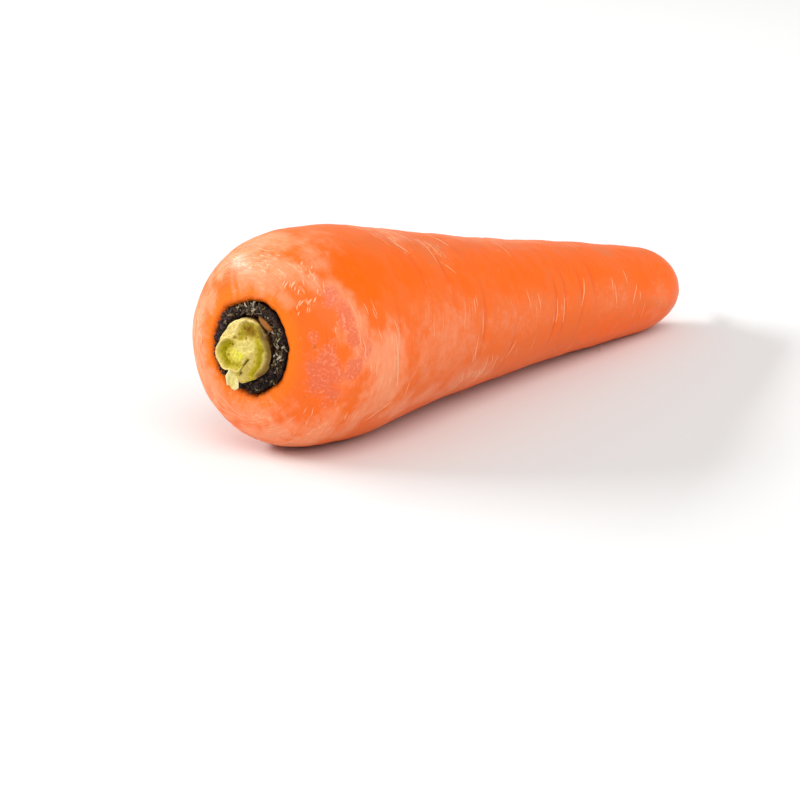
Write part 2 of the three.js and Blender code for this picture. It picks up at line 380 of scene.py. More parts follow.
# where each share is painted: distance from the crown face, angle, half length along the
# skin, half width round it, and strength
patches = {
    "rubbed": [
        (3.4, 98, 5.2, 6.4, 0.85), (5.4, 112, 3.2, 4.6, 0.6), (2.0, 76, 1.8, 3.0, 0.5),
        (28.0, 236, 8.0, 10.0, 0.7), (8.0, 290, 4.0, 7.0, 0.7), (8.6, 95, 2.8, 3.6, 0.7),
        (8.8, 81, 2.4, 4.2, 0.7), (7.8, 66, 2.6, 4.2, 0.68), (6.0, 53, 2.6, 3.6, 0.62),
        (11.8, 84, 3.6, 4.6, 0.42),
    ],
    # dry haze; the patches round the highlight on the upper shoulder, along the left and lower rims
    # and on the pale band of the side towards the viewer are also painted sheen, rim reflection and
    # bounce light
    "bloom": [
        (4.4, 43, 3.2, 4.4, 0.8), (7.0, 51, 3.2, 4.8, 0.85), (9.0, 63, 3.0, 5.6, 0.85),
        (11.0, 76, 3.4, 6.4, 0.85), (9.4, 85, 3.4, 6.0, 0.75), (8.4, 93, 2.6, 4.0, 0.6),
        (1.2, 4, 4.6, 12.0, 0.95), (2.8, 22, 4.4, 9.0, 0.9), (0.9, 37, 2.6, 4.0, 0.7),
        (8.2, 28, 4.4, 7.0, 0.65), (0.9, -56, 3.0, 4.0, 0.85), (0.9, -138, 3.4, 10.0, 0.85),
        (3.6, 166, 4.6, 13.0, 0.85), (15.4, 127, 5.0, 8.0, 0.75), (30.0, 128, 9.0, 6.0, 0.7),
        (43.0, 127, 9.0, 5.0, 0.6), (15.0, 92, 5.5, 9.0, 0.85), (20.5, 101, 8.0, 15.0, 1.0),
        (8.0, 104, 5.0, 8.0, 0.4), (3.2, -22, 5.5, 13.0, 0.85), (7.5, -6, 6.0, 13.0, 0.8),
        (1.6, -68, 3.4, 6.5, 0.95), (7.6, 78, 3.2, 5.0, 0.5), (14.0, 14, 6.0, 9.0, 0.4),
        (1.8, -98, 5.5, 18.0, 0.95), (8.5, 151, 6.0, 16.0, 0.85), (14.0, 140, 6.0, 9.0, 0.5),
        (1.0, 178, 5.0, 16.0, 0.7), (44.0, 92, 24.0, 14.0, 0.5), (78.0, 88, 24.0, 9.0, 0.34),
        (60.0, 128, 16.0, 8.0, 0.6), (126.0, 84, 16.0, 7.0, 0.3), (154.0, 96, 9.0, 8.0, 0.4),
        (40.0, 14, 12.0, 9.0, 0.5), (84.0, 8, 34.0, 8.0, 0.4), (20.0, 250, 16.0, 22.0, 0.75),
        (60.0, 280, 26.0, 12.0, 0.6), (110.0, 240, 28.0, 11.0, 0.6),
    ],
    # dry flakes; the two broad ones across the top of the shoulder also paint streaks of the
    # highlight's sheen
    "flake": [
        (4.0, 29, 2.2, 3.4, 0.6), (5.4, 33, 1.8, 3.0, 0.6), (2.6, 43, 1.6, 3.2, 0.62),
        (2.6, 52, 1.6, 3.0, 0.6), (6.2, 70, 2.6, 5.5, 0.5), (4.2, 88, 3.0, 6.5, 0.45),
        (1.2, 168, 2.6, 9.0, 0.6), (2.2, 4, 4.4, 12.0, 0.62), (4.6, 22, 3.0, 6.0, 0.5),
        (1.2, -80, 2.6, 9.0, 0.6), (7.5, 145, 3.2, 12.0, 0.6), (2.8, -138, 2.4, 8.0, 0.55),
        (23.0, 126, 4.0, 5.0, 0.55), (66.0, 126, 12.0, 6.0, 0.55), (37.0, 26, 3.4, 7.0, 0.6),
        (50.0, 32, 8.0, 9.0, 0.55), (100.0, 88, 6.0, 8.0, 0.45), (5.0, 262, 3.0, 9.0, 0.55),
        (92.0, 215, 12.0, 6.0, 0.5),
    ],
    "bright": [
        (17.0, 45, 12.0, 10.0, 0.95), (8.0, 58, 4.0, 6.0, 0.5), (34.0, 46, 14.0, 9.0, 0.6),
        (76.0, 48, 34.0, 9.0, 0.75), (118.0, 48, 26.0, 8.0, 0.75), (147.0, 48, 16.0, 11.0, 0.9),
        (163.0, 60, 9.0, 11.0, 0.8), (140.0, 122, 30.0, 6.0, 0.7), (30.0, 300, 20.0, 16.0, 0.8),
        (96.0, 320, 40.0, 12.0, 0.7), (80.0, 190, 40.0, 10.0, 0.7),
    ],
}


skinForm = {
    "around": 280,               # faces round the skin
    # rows of faces along it, from the recess to the tail
    "wallRows": 28,
    "shoulderRows": 60,
    "bodyRows": 205,
    "domeRows": 36,
    "tailRows": 18,
    "rounding": 14,              # times that the corners of the recess wall are smoothed
    # seed, wavelength, number of waves, height and squeeze, mm
    "relief": [(1, 7.0, 40, 0.05, (1, 1, 1)), (2, 3.2, 40, 0.035, (1.6, 0.5, 0.5)),
               (3, 1.4, 60, 0.02, (1.4, 0.8, 0.8))],
    "patchEdge": [(21, 5.5, 40, 0.16, (1, 1, 1)), (22, 2.0, 60, 0.07, (1, 1, 1))],
    "patchFade": (0.15, 1.35),   # from full to nothing, in shares of the patch's half size
    "tailFlare": (0.75, 1.1),    # height and fall of the hollow curve from the blunt end, mm
    "haloRadius": 11.8,          # brighter orange round the recess
    "haloFade": (0.8, 4.6),
    "stainAndShadeFade": (10.9, 12.6),   # brown stain and painted shade on the recess wall
    "creaseShare": 0.55,         # how dark the painted shade in a fold is
    "creaseWidth": 0.45,         # of the fold's own width
}


def skinRows():
    # (distance, radius) down the recess wall, over the shoulder, along the body and tail
    floor, outer, rim = root["recessDepth"], root["ringOuterRadius"], root["recessRimRadius"]
    rimDepth = 0.27
    wall = np.array([
        (floor, root["recessFloorRadius"]), (floor - 0.45, outer + 0.05),
        (1.6, outer + root["gap"] + 0.1), (0.78, outer + 0.95), (0.42, rim - 0.6), (rimDepth, rim)])
    # round the corners of the wall, as grown skin has none
    fine = np.linspace(0, len(wall) - 1, skinForm["wallRows"])
    plain = np.stack([np.interp(fine, np.arange(len(wall)), wall[:, i]) for i in (0, 1)], axis=1)
    for _ in range(skinForm["rounding"]):
        plain[1:-1] = 0.25 * plain[:-2] + 0.5 * plain[1:-1] + 0.25 * plain[2:]
    rows = [(floor, 0.001), (floor, 3.0), (floor, 6.0)] + [tuple(p) for p in plain]
    power, shoulderAt = root["shoulderExponent"], root["shoulderAt"]
    bodyEnd = root["length"] - root["tipDomeLength"]
    turnStart = math.acos((1 - rimDepth / shoulderAt) ** (power / 2))
    turns = np.linspace(turnStart, math.pi / 2, skinForm["shoulderRows"])[1:]
    along = [shoulderAt * (1 - math.cos(turn) ** (2 / power)) for turn in turns]
    along += list(np.linspace(shoulderAt, bodyEnd, skinForm["bodyRows"])[1:])
    rows += [(s, float(plainRadius(s))) for s in along]
    for turn in np.linspace(0, math.pi / 2, skinForm["domeRows"])[1:]:
        s = bodyEnd + root["tipDomeLength"] * math.sin(turn)
        radius = float(plainRadius(s))
        if radius > root["tailBaseRadius"] + 0.5:
            rows.append((s, radius))
    # the blunt end runs out into the tail on a short curve
    base, end = root["tailBaseRadius"], root["tailEndRadius"]
    for share in np.linspace(0, 1, skinForm["tailRows"]):
        rows.append((root["length"] - 0.1 + root["tailLength"] * share,
                     base + (0.8 * end - base) * share ** 0.6))
    tailTip = root["length"] + root["tailLength"]
    rows += [(tailTip + 0.35, end * 0.6), (tailTip + 0.48, 0.001)]
    return np.array(rows)


rowTable = skinRows()
skinSteps = np.hypot(np.diff(rowTable[:, 0]), np.diff(rowTable[:, 1]))
skinLengths = np.concatenate([[0], np.cumsum(skinSteps)])
rimRow = int(np.argmin(rowTable[:, 0]))


def lengthAt(s):
    # length along the skin at a distance from the crown face, outside the recess
    return np.interp(s, rowTable[rimRow:, 0], skinLengths[rimRow:])


def skinPlaceAt(length, angle):
    around = root["shoulderRadius"]
    return np.stack([length + 0 * angle, around * np.cos(angle), around * np.sin(angle)], axis=-1)


def lipShift(angle):
    spots = np.array(root["lip"], dtype=float)
    shift = np.interp(np.degrees(angle), spots[:, 0], spots[:, 1], period=360)
    for height, number, phase in root["lipRipples"]:
        shift = shift + height * np.sin(number * angle + phase)
    return shift


def fineRelief(length, angle, s):
    relief = layeredRelief(skinPlaceAt(length, angle), skinForm["relief"])
    onSkin = smoothStep(s, 0.2, 3) * (1 - smoothStep(s, root["length"] - 4, root["length"]))
    return relief * onSkin


def skinPoint(s, angle, lift):
    # a point above the finished skin, outside the recess
    s, angle = np.asarray(s, float), np.asarray(angle, float)
    rise = swelling(s, angle) + fineRelief(lengthAt(s), angle, s) - root["slimmer"]
    return onRoot(s, plainRadius(s) + rise + lift, angle)


def patchWeights(spots, angle, edge):
    # 1 inside a patch and 0 outside, with a wandering edge
    total = np.zeros(angle.shape)
    for at, middle, along, across, strength in spots:
        sideways = np.radians(degreesFrom(angle, middle)) * float(plainRadius(at)) / across
        far = np.hypot((skinLengths[:, None] - lengthAt(at)) / along, sideways)
        total = np.maximum(total, strength * (1 - smoothStep(far + edge, *skinForm["patchFade"])))
    return total


def makeSkin(material):
    around, end = skinForm["around"], root["length"]
    angle = np.linspace(0, 2 * math.pi, around, endpoint=False)[None, :]
    angle = angle + np.zeros((len(rowTable), 1))
    s, radius, length = (column[:, None] + 0 * angle
                         for column in (rowTable[:, 0], rowTable[:, 1], skinLengths))
    place = skinPlaceAt(length, angle)
    rise = swelling(s, angle) + fineRelief(length, angle, s) - root["slimmer"]
    # a hollow curve from the blunt end into the tail, and wrinkles along the tail
    onTail = smoothStep(s, end - 0.2, end + 1.5)
    flareHeight, flareFall = skinForm["tailFlare"]
    flare = flareHeight * np.exp(-np.maximum(radius - root["tailBaseRadius"], 0) / flareFall)
    s = s + flare * (s > end - 6) * (1 - onTail)
    wrinkle = 0.09 * np.sin(5 * angle + 0.5 * s) + 0.07 * np.sin(1.9 * s + np.sin(3 * angle))
    wrinkle = wrinkle + 0.05 * np.sin(4.1 * s)
    radius = radius + wrinkle * onTail * (radius > 0.4)
    onRim = (1 - smoothStep(radius, 12, 15.5)) * (1 - smoothStep(s, 1.2, 2.8)) * (s < 5)
    lift = lipShift(angle) * onRim + rise * np.minimum(1, radius / 12)
    points = onRoot(s, radius + lift, angle).reshape(-1, 3)
    piece = addMesh("carrotSkin", points, gridFaces(len(rowTable), around).tolist(), material)
    addValues(piece, "skinPlace", place)
    edge = layeredRelief(place, skinForm["patchEdge"])
    shares = {name: patchWeights(spots, angle, edge) for name, spots in patches.items()}
    fromHalo = np.abs(radius - skinForm["haloRadius"])
    shares["halo"] = (1 - smoothStep(fromHalo, *skinForm["haloFade"])) * (s < 8)
    # brown stain on the recess wall with painted shade, darker deeper in
    stain = 1 - smoothStep(radius, *skinForm["stainAndShadeFade"])
    shares["stain"] = stain * (1 + 1.5 * smoothStep(s, 0.8, 2)) * (s < 5)
    shares["tail"] = smoothStep(s, end - 0.5, end + root["tailLength"])
    # painted shade along the folds
    width = skinForm["creaseWidth"] * root["foldWidth"]
    shares["crease"] = skinForm["creaseShare"] * np.max(
        [foldShare(fold, s, angle, width) for fold in folds], axis=0)
    for name in paintedShares:
        addValues(piece, name, shares[name].ravel())
    print("skin:", len(rowTable), "rows,", len(piece.data.polygons), "faces")
    return piece


skin = makeSkin(makeSkinMaterial())
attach(skin, "root")
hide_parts("root")


# Thin solid strands: scars, rootlets and fibres share this

def addStrands(name, strands, sides, material, shades=None):
    # closed tapered tubes in one mesh; each strand is its points, radii, flatness and the
    # direction it is flat in, and shades holds one number for each, read by the material
    points, faces, owners = [], [], []
    turns = (2 * math.pi * np.arange(sides) / sides)[None, :, None]
    for index, (path, radii, flatness, normal) in enumerate(strands):
        first, rows = len(owners), len(path)
        tangent = np.gradient(path, axis=0)
        tangent /= np.linalg.norm(tangent, axis=1)[:, None]
        out = normal - tangent * np.sum(tangent * normal, axis=1)[:, None]
        out /= np.linalg.norm(out, axis=1)[:, None]
        across = np.cross(tangent, out)
        side = np.cos(turns) * across[:, None] + flatness * np.sin(turns) * out[:, None]
        points.append((path[:, None] + radii[:, None, None] * side).reshape(-1, 3))
        faces += gridFaces(rows, sides, first).tolist()
        faces.append([first + c for c in reversed(range(sides))])
        faces.append([first + (rows - 1) * sides + c for c in range(sides)])
        owners += [index] * (rows * sides)
    points = np.concatenate(points)
    points[:, 2] = np.maximum(points[:, 2], 0)
    piece = addMesh(name, points, faces, material)
    if shades:
        addValues(piece, "shade", np.array(shades)[owners])
    print(name + ":", len(strands), "strands")
    return piece


# Scars: short corky lines across the skin

scars = {
    # from (distance, angle) to (distance, angle), full width and height, mm
    "seen": [
        ((97.2, 74), (97.2, 101), 0.4, 0.1), ((100.3, 72), (101.0, 103), 0.45, 0.1),
        ((112.0, 57), (109.0, 92), 0.4, 0.09), ((140.2, 69), (137.4, 95), 0.4, 0.08),
        ((60.0, 78), (60.3, 96), 0.35, 0.07), ((35.9, 22), (37.9, 37), 0.5, 0.1),
        ((38.4, 18), (39.0, 27), 0.4, 0.08), ((49.0, 18), (46.9, 48), 0.4, 0.09),
        ((50.4, 22), (49.6, 40), 0.3, 0.07), ((58.0, 14), (58.6, 29), 0.45, 0.09),
        ((48.8, 43), (53.0, 52), 0.3, 0.06), ((78.7, 103), (76.4, 122), 0.35, 0.08),
        ((66.1, 109), (68.0, 139), 0.4, 0.08), ((58.4, 92), (58.9, 116), 0.3, 0.06),
        ((56.0, 118), (59.5, 132), 0.35, 0.07), ((70.5, 112), (72.4, 130), 0.35, 0.07),
        ((21.6, 82), (25.0, 112), 0.6, 0.07), ((22.4, 128), (25.4, 120), 0.4, 0.07),
        ((19.0, 133), (22.6, 124), 0.35, 0.07), ((126.5, 60), (126.0, 78), 0.35, 0.07),
    ],
    # number, distances, angles, lengths in mm, lean along the skin, full width and paleness;
    # the two with a paleness under 0 are specks of soil
    "groups": [
        (18, (2.5, 11.5), (124, 162), (0.8, 4.0), 0.1, 0.5, 0.4),
        (18, (2.0, 9.0), (158, 198), (4, 13), 0.1, 0.3, 0.55),
        # the next two, on the left rim and round the highlight on the upper shoulder, are real
        # scratches made palest so that they also paint the streaky highlight and rim reflection
        (30, (0.8, 5.5), (-160, -80), (3, 12), 0.1, 0.4, 0.9),
        (34, (1.2, 6.5), (-40, 6), (2, 9), 0.0, 0.34, 0.9),
        (32, (1.2, 6.6), (24, 58), (0.4, 1.2), -0.25, 0.62, 0.55),
        (14, (9, 24), (60, 118), (2, 7), 0.4, 0.26, 0.5),
        (14, (28, 54), (8, 34), (3, 9), 0.5, 0.34, 0.45),
        (10, (54, 74), (104, 138), (2, 6), 0.7, 0.3, 0.6),
        (12, (0.8, 2.4), (0, 360), (0.12, 0.3), 0.0, 0.26, -0.5),
        (14, (24, 165), (0, 360), (0.15, 0.5), 0.0, 0.28, -0.5),
    ],
    "spread": 80,                # more of them, all round
    "longest": 9.0,
    "widest": 0.42,
    "soil": "#70380f",
    "orange": "#ff9a62",
    "pale": "#ffbf98",
    "sides": 6,                  # faces round each line
    "sunk": 0.02,                # mm, so that no line floats
}


def makeScars():
    # Cork: dull and pale, it catches a thin line of light across the wet skin.
    material, tree = startMaterial("corkyScar")
    shade = addNode(tree, "Attribute", attribute_name="shade").outputs["Fac"]
    soil = addNode(tree, "MapRange", {1: 0.0, 2: -0.6}, {0: shade}).outputs[0]
    under = addNode(tree, "Mix",
                    {6: linearColour(scars["orange"]), 7: linearColour(scars["pale"])},
                    {0: shade}, data_type="RGBA")
    colour = addNode(tree, "Mix", {7: linearColour(scars["soil"])},
                     {0: soil, 6: under.outputs[2]}, data_type="RGBA")
    shader = addNode(tree, "BsdfPrincipled", {
        "Roughness": 0.5, "Subsurface Weight": 0.2, "Subsurface Radius": (1.0, 0.4, 0.15),
        "Subsurface Scale": 1.0 * mm}, {"Base Color": colour.outputs[2]})
    addNode(tree, "OutputMaterial", {}, {"Surface": shader.outputs[0]})
    draw = random.Random(5)
    lines = [(*line, 0.5) for line in scars["seen"]]
    for _ in range(scars["spread"]):
        at = 24 + 142 * draw.random() ** 0.9
        middle = draw.uniform(62, 390)
        reach = math.degrees(draw.uniform(1.5, scars["longest"]) / float(plainRadius(at))) / 2
        lean = draw.gauss(0, 0.35)
        lines.append(((at - lean, middle - reach), (at + lean, middle + reach),
                      draw.uniform(0.16, scars["widest"]), draw.uniform(0.04, 0.09),
                      draw.uniform(0, 0.4)))
    for count, distances, angles, lengths, leaning, widest, paleness in scars["groups"]:
        for _ in range(count):
            at, middle = draw.uniform(*distances), draw.uniform(*angles)
            reach = math.degrees(draw.uniform(*lengths) / float(plainRadius(at))) / 2
            lean = draw.gauss(leaning, 0.12)
            ends = [(max(0.6, at + side * lean), middle + side * reach) for side in (-1, 1)]
            lines.append((*ends, draw.uniform(0.5, 1.0) * widest, draw.uniform(0.03, 0.07),
                          paleness))
    strands, shades = [], []
    for start, end, width, height, paleness in lines:
        t = np.linspace(0, 1, 13)
        arc = abs(end[1] - start[1]) * float(plainRadius(start[0])) * math.pi / 180
        wobble = min(0.14, 0.025 * arc) * np.sin(t * draw.uniform(4, 10) + draw.uniform(0, 6))
        s = start[0] + (end[0] - start[0]) * t + wobble
        angle = np.radians(start[1] + (end[1] - start[1]) * t)
        thin = np.sin(math.pi * np.clip(t, 0.02, 0.98)) ** 0.7
        path = skinPoint(s, angle, -scars["sunk"])
        normal = skinPoint(s, angle, 1.0) - skinPoint(s, angle, 0.0)
        strands.append((path, width / 2 * thin, height / (width / 2), normal))
        shades.append(paleness)
    return addStrands("skinScars", strands, scars["sides"], material, shades)


skinScars = makeScars()
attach(skinScars, "root")


# Rootlets: a few hair-thin side roots that washing left on

rootlets = {
    "seen": (68.5, 128, 2.6),    # distance, angle and length, mm
    "count": 26,                 # more of them, in four rows down the root
    "rows": (132, 205, 262, 322),
    "longest": 5.0,
    "radius": 0.07,
    "sides": 5,                  # faces round each of them
    "colour": "#d99a62",
}


def makeRootlets():
    # Dry root fibre: thin, tan and matt, seen as stray hairs against the orange.
    material, tree = startMaterial("dryRootHair")
    shader = addNode(tree, "BsdfPrincipled", {
        "Base Color": linearColour(rootlets["colour"]), "Roughness": 0.6})
    addNode(tree, "OutputMaterial", {}, {"Surface": shader.outputs[0]})
    draw = random.Random(12)
    places = [rootlets["seen"]]
    for _ in range(rootlets["count"]):
        places.append((draw.uniform(40, 165), draw.choice(rootlets["rows"]) + draw.gauss(0, 8),
                       draw.uniform(1.0, rootlets["longest"])))
    strands = []
    for at, middle, reach in places:
        angle = math.radians(middle)
        foot = skinPoint(at, angle, -0.1)
        normal = skinPoint(at, angle, 1.0) - skinPoint(at, angle, 0.0)
        sideways = np.cross(normal, axisAlong) * draw.choice((-1, 1))
        t = np.linspace(0, 1, 9)[:, None]
        path = foot + normal * reach * 0.45 * np.sin(t * 1.9) + sideways * reach * 0.8 * t ** 1.4
        path = path + axisAlong * reach * draw.uniform(-0.3, 0.5) * t ** 2
        path = path + np.array([0, 0, -0.25]) * reach * t ** 2
        path[:, 2] = np.maximum(path[:, 2], 0.1)
        radii = rootlets["radius"] * (1 - 0.75 * t[:, 0])
        strands.append((path, radii, 1.0, normal + 0 * path))
    return addStrands("fineRootlets", strands, rootlets["sides"], material)


fineRootlets = makeRootlets()
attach(fineRootlets, "root")


# Places in the crown face: x towards the side, y up, height above the face

def onCrown(x, y, height):
    x, y, height = np.broadcast_arrays(np.asarray(x, float), y, height)
    inFace = x[..., None] * axisSide + y[..., None] * axisUp
    return crownPoint + inFace - height[..., None] * axisAlong


def planAt(radius, angle):
    # x and y; the angle starts at the top
    return radius * np.sin(angle), radius * np.cos(angle)


def pointGrid(x, y, z=0.0):
    return np.stack(np.broadcast_arrays(x, y, z), axis=-1)


def hump(distance, width):
    return np.exp(-(distance / width) ** 2)


def inside(distance, radius, edge):
    return 1 - smoothStep(distance, radius - edge / 2, radius + edge / 2)


# Ring of dried leaf bases

ring = {
    "around": 420,
    "rows": 66,
    # broad folds of the heap, then lumps, then crumbs: as for layeredRelief
    "lumps": [(41, 2.2, 40, 0.3, 1), (42, 0.8, 60, 0.22, (1, 1, 0.35)), (43, 0.4, 60, 0.1, 1)],
    "highestLump": 0.5,
    "shreds": 800,               # broad flat strips of leaf base
    "shredLength": (0.4, 1.5),
    "shredRadius": (0.16, 0.42),
    "shredFlatness": (0.2, 0.45),
    "fibres": 620,
    "fibreLength": (0.3, 1.2),
    "fibreRadius": (0.045, 0.1),
    "fibreFlatness": (0.5, 1.0),
    "frayed": 420,               # short ones that lap over the skin's rim
    "frayedLength": (0.35, 1.1),
    "sides": 5,                  # faces round each of them
    "highest": 1.1,              # no strand stands higher over the crown face
    # height of the ground that strands lie on: offset from the skin's rim, and height
    "ground": [(-0.7, -0.35), (0.2, -0.4), (0.8, -0.25), (1.4, -0.05)],
    # shade of the strands: plain, and what is added on each side; 0 is black and 1 is grey;
    # the top and the right side are made lighter where light falls, and the low side darker:
    # painted light and shade
    "shade": {"plain": 0.2, "right": 0.2, "top": 0.34, "low": -0.14, "frayed": -0.12},
    "shadeSpread": 0.32,
    "heapShade": 0.17,
    "black": "#140e0c",
    "brown": "#4a3022",
    "plum": "#3a2a30",
    "olive": "#6f6237",
    "grey": "#b8ab94",
    "stops": {"black": 0.12, "brown": 0.48, "olive": 0.72, "grey": 0.95},
    # cycles in a metre, detail and roughness
    "fibrous": (1800.0, 4.0, 0.7),   # 0.6 mm: real fibres are finer, drawn coarser to show
    "plumPatches": (520.0, 2.0, 0.5),  # 2 mm
}


def makeRingMaterial():
    # Dead leaf bases, dried black-brown: matt, papery and fibrous, with grey and olive ends
    # that catch the light, and plum patches.
    material, tree = startMaterial("driedLeafBase")
    shade = addNode(tree, "Attribute", attribute_name="shade").outputs["Fac"]
    coords = addNode(tree, "TexCoord").outputs["Object"]
    noises = []
    for scale, detail, roughness in (ring["fibrous"], ring["plumPatches"]):
        settings = {"Scale": scale, "Detail": detail, "Roughness": roughness}
        noise = addNode(tree, "TexNoise", settings, {"Vector": coords})
        noises.append(noise.outputs["Fac"])
    fibrous, patch = noises
    spread = addNode(tree, "Math", {1: 1.1, 2: -0.55}, {0: fibrous},
                     operation="MULTIPLY_ADD")
    total = addNode(tree, "Math", {}, {0: shade, 1: spread.outputs[0]},
                    operation="ADD", use_clamp=True)
    ramp = addNode(tree, "ValToRGB", {}, {0: total.outputs[0]})
    stops = ramp.color_ramp.elements
    stops[0].position, stops[1].position = ring["stops"]["black"], ring["stops"]["grey"]
    for name in ("brown", "olive"):
        stops.new(ring["stops"][name])
    for stop, name in zip(stops, ring["stops"]):
        stop.color = linearColour(ring[name])
    plumShare = addNode(tree, "MapRange", {1: 0.46, 2: 0.6, 4: 0.55}, {0: patch})
    tinted = addNode(tree, "Mix", {7: linearColour(ring["plum"])},
                     {0: plumShare.outputs[0], 6: ramp.outputs[0]}, data_type="RGBA")
    bump = addNode(tree, "Bump", {"Strength": 0.6, "Distance": 0.15 * mm},
                   {"Height": fibrous})
    shader = addNode(tree, "BsdfPrincipled",
                     {"Roughness": 0.78, "IOR": 1.45, "Specular IOR Level": 0.25},
                     {"Base Color": tinted.outputs[2], "Normal": bump.outputs[0]})
    addNode(tree, "OutputMaterial", {}, {"Surface": shader.outputs[0]})
    return material


def makeRingHeap(material):
    inner, outer, around = root["ringInnerRadius"], root["ringOuterRadius"], ring["around"]
    floor = root["gap"] - root["recessDepth"]
    # section through the ring: radius and height over the crown face
    outline = np.array([
        (inner, floor), (inner, -1.5), (inner + 0.25, -0.75), (inner + 0.9, -0.3),
        (inner + 1.8, -0.25), (inner + 2.6, -0.5), (outer - 0.2, -1.0), (outer, -1.6),
        (outer - 0.3, floor + 0.4), (root["recessFloorRadius"] - 0.1, floor), (inner, floor)])
    lengths = np.concatenate([[0], np.cumsum(np.hypot(*np.diff(outline, axis=0).T))])
    fine = np.linspace(0, lengths[-1], ring["rows"])[:-1]
    angle = np.linspace(0, 2 * math.pi, around, endpoint=False)[None, :]
    radius, height, angle = np.broadcast_arrays(
        np.interp(fine, lengths, outline[:, 0])[:, None],
        np.interp(fine, lengths, outline[:, 1])[:, None], angle)
    lumps = layeredRelief(pointGrid(*planAt(radius, angle), height), ring["lumps"])
    lumps = lumps * smoothStep(height, -2.2, -0.9)
    # the outer side follows the rim of the skin
    shift = lipShift(angle) * smoothStep(radius, 7.4, 10.3) * smoothStep(height, -3.0, -1.7)
    height = height + np.minimum(lumps, ring["highestLump"])
    points = onCrown(*planAt(radius + shift, angle), height)
    rows = len(fine)
    quads = gridFaces(rows + 1, around) % (rows * around)
    piece = addMesh("leafBaseRing", points.reshape(-1, 3), quads.tolist(), material)
    # lighter on the lumps and darker in the hollows between them: painted shade
    addValues(piece, "shade", (ring["heapShade"] + 0.4 * lumps).ravel())
    print("ring of leaf bases:", len(quads), "faces")
    return piece


def makeRingFibres(material):
    draw = random.Random(77)
    strands, shades = [], []
    inner, tone = root["ringInnerRadius"], ring["shade"]
    t = np.linspace(0, 1, 6)
    for index in range(ring["shreds"] + ring["fibres"] + ring["frayed"]):
        isShred = index < ring["shreds"]
        isFrayed = index >= ring["shreds"] + ring["fibres"]
        kind = "shred" if isShred else "fibre"
        angle = draw.uniform(0, 2 * math.pi)
        turn = math.degrees(angle) % 360
        edge = root["ringOuterRadius"] + float(lipShift(np.array(angle)))
        rightSide, lowSide = hump(turn - 80, 48), hump(turn - 145, 32)
        topSide = hump(degreesFrom(angle, 4), 26)
        radius = draw.triangular(inner + 0.1, edge, edge - 0.6)
        length = draw.uniform(*ring[kind + "Length"])
        outward = np.array(planAt(1.0, angle))
        along = np.array([outward[1], -outward[0]])
        heading = draw.gauss(0.1, 0.8)
        if isFrayed:
            radius, heading = edge - draw.uniform(-0.1, 0.5), draw.uniform(0.5, 1.5)
            length = draw.uniform(*ring["frayedLength"])
        flow = along * math.cos(heading) * draw.choice((-1, 1))
        flow = flow + outward * (0.2 + 0.7 * math.sin(heading))
        plan = radius * outward + np.outer(t * length, flow)
        plan = plan + np.outer((t ** 2) * length * draw.gauss(0, 0.3), outward)
        # kept between the stub and a short way out on the skin
        reach = np.hypot(*plan.T)
        farthest = edge + 0.35 + 0.8 * rightSide + 0.7 * topSide
        plan = plan * (np.clip(reach, inner - 0.1, farthest) / reach)[:, None]
        spots = [(6.9, -0.45), (8, -0.15)] + [(edge + away, h) for away, h in ring["ground"]]
        ground = np.interp(np.hypot(*plan.T), *zip(*spots))
        climb = draw.uniform(0.0, 0.35)
        height = ground + draw.uniform(-0.05, 0.35) + climb * length * np.sin(t * 2.2)
        path = onCrown(plan[:, 0], plan[:, 1], np.minimum(height, ring["highest"]))
        thick = draw.uniform(*ring[kind + "Radius"])
        normal = -axisAlong
        for axis in (axisUp, axisSide):
            normal = normal + 0.25 * draw.gauss(0, 1) * axis
        flatness = draw.uniform(*ring[kind + "Flatness"])
        strands.append((path, thick * (1 - 0.65 * t ** 1.5), flatness, np.tile(normal, (6, 1))))
        # lighter on the top and the right side and darker low down: painted light and shade; frayed
        # ends are darker of their own
        middle = tone["plain"] + tone["right"] * rightSide + tone["top"] * topSide
        middle = middle + tone["low"] * lowSide + tone["frayed"] * isFrayed
        shades.append(min(1.0, max(0.0, draw.gauss(middle, ring["shadeSpread"]))))
    return addStrands("leafBaseFibres", strands, ring["sides"], material, shades)


ringMaterial = makeRingMaterial()
leafBaseRing = makeRingHeap(ringMaterial)
leafBaseFibres = makeRingFibres(ringMaterial)
for piece in (leafBaseRing, leafBaseFibres):
    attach(piece, "root")
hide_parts("leaf_base_ring")


# Cut leaf stalks

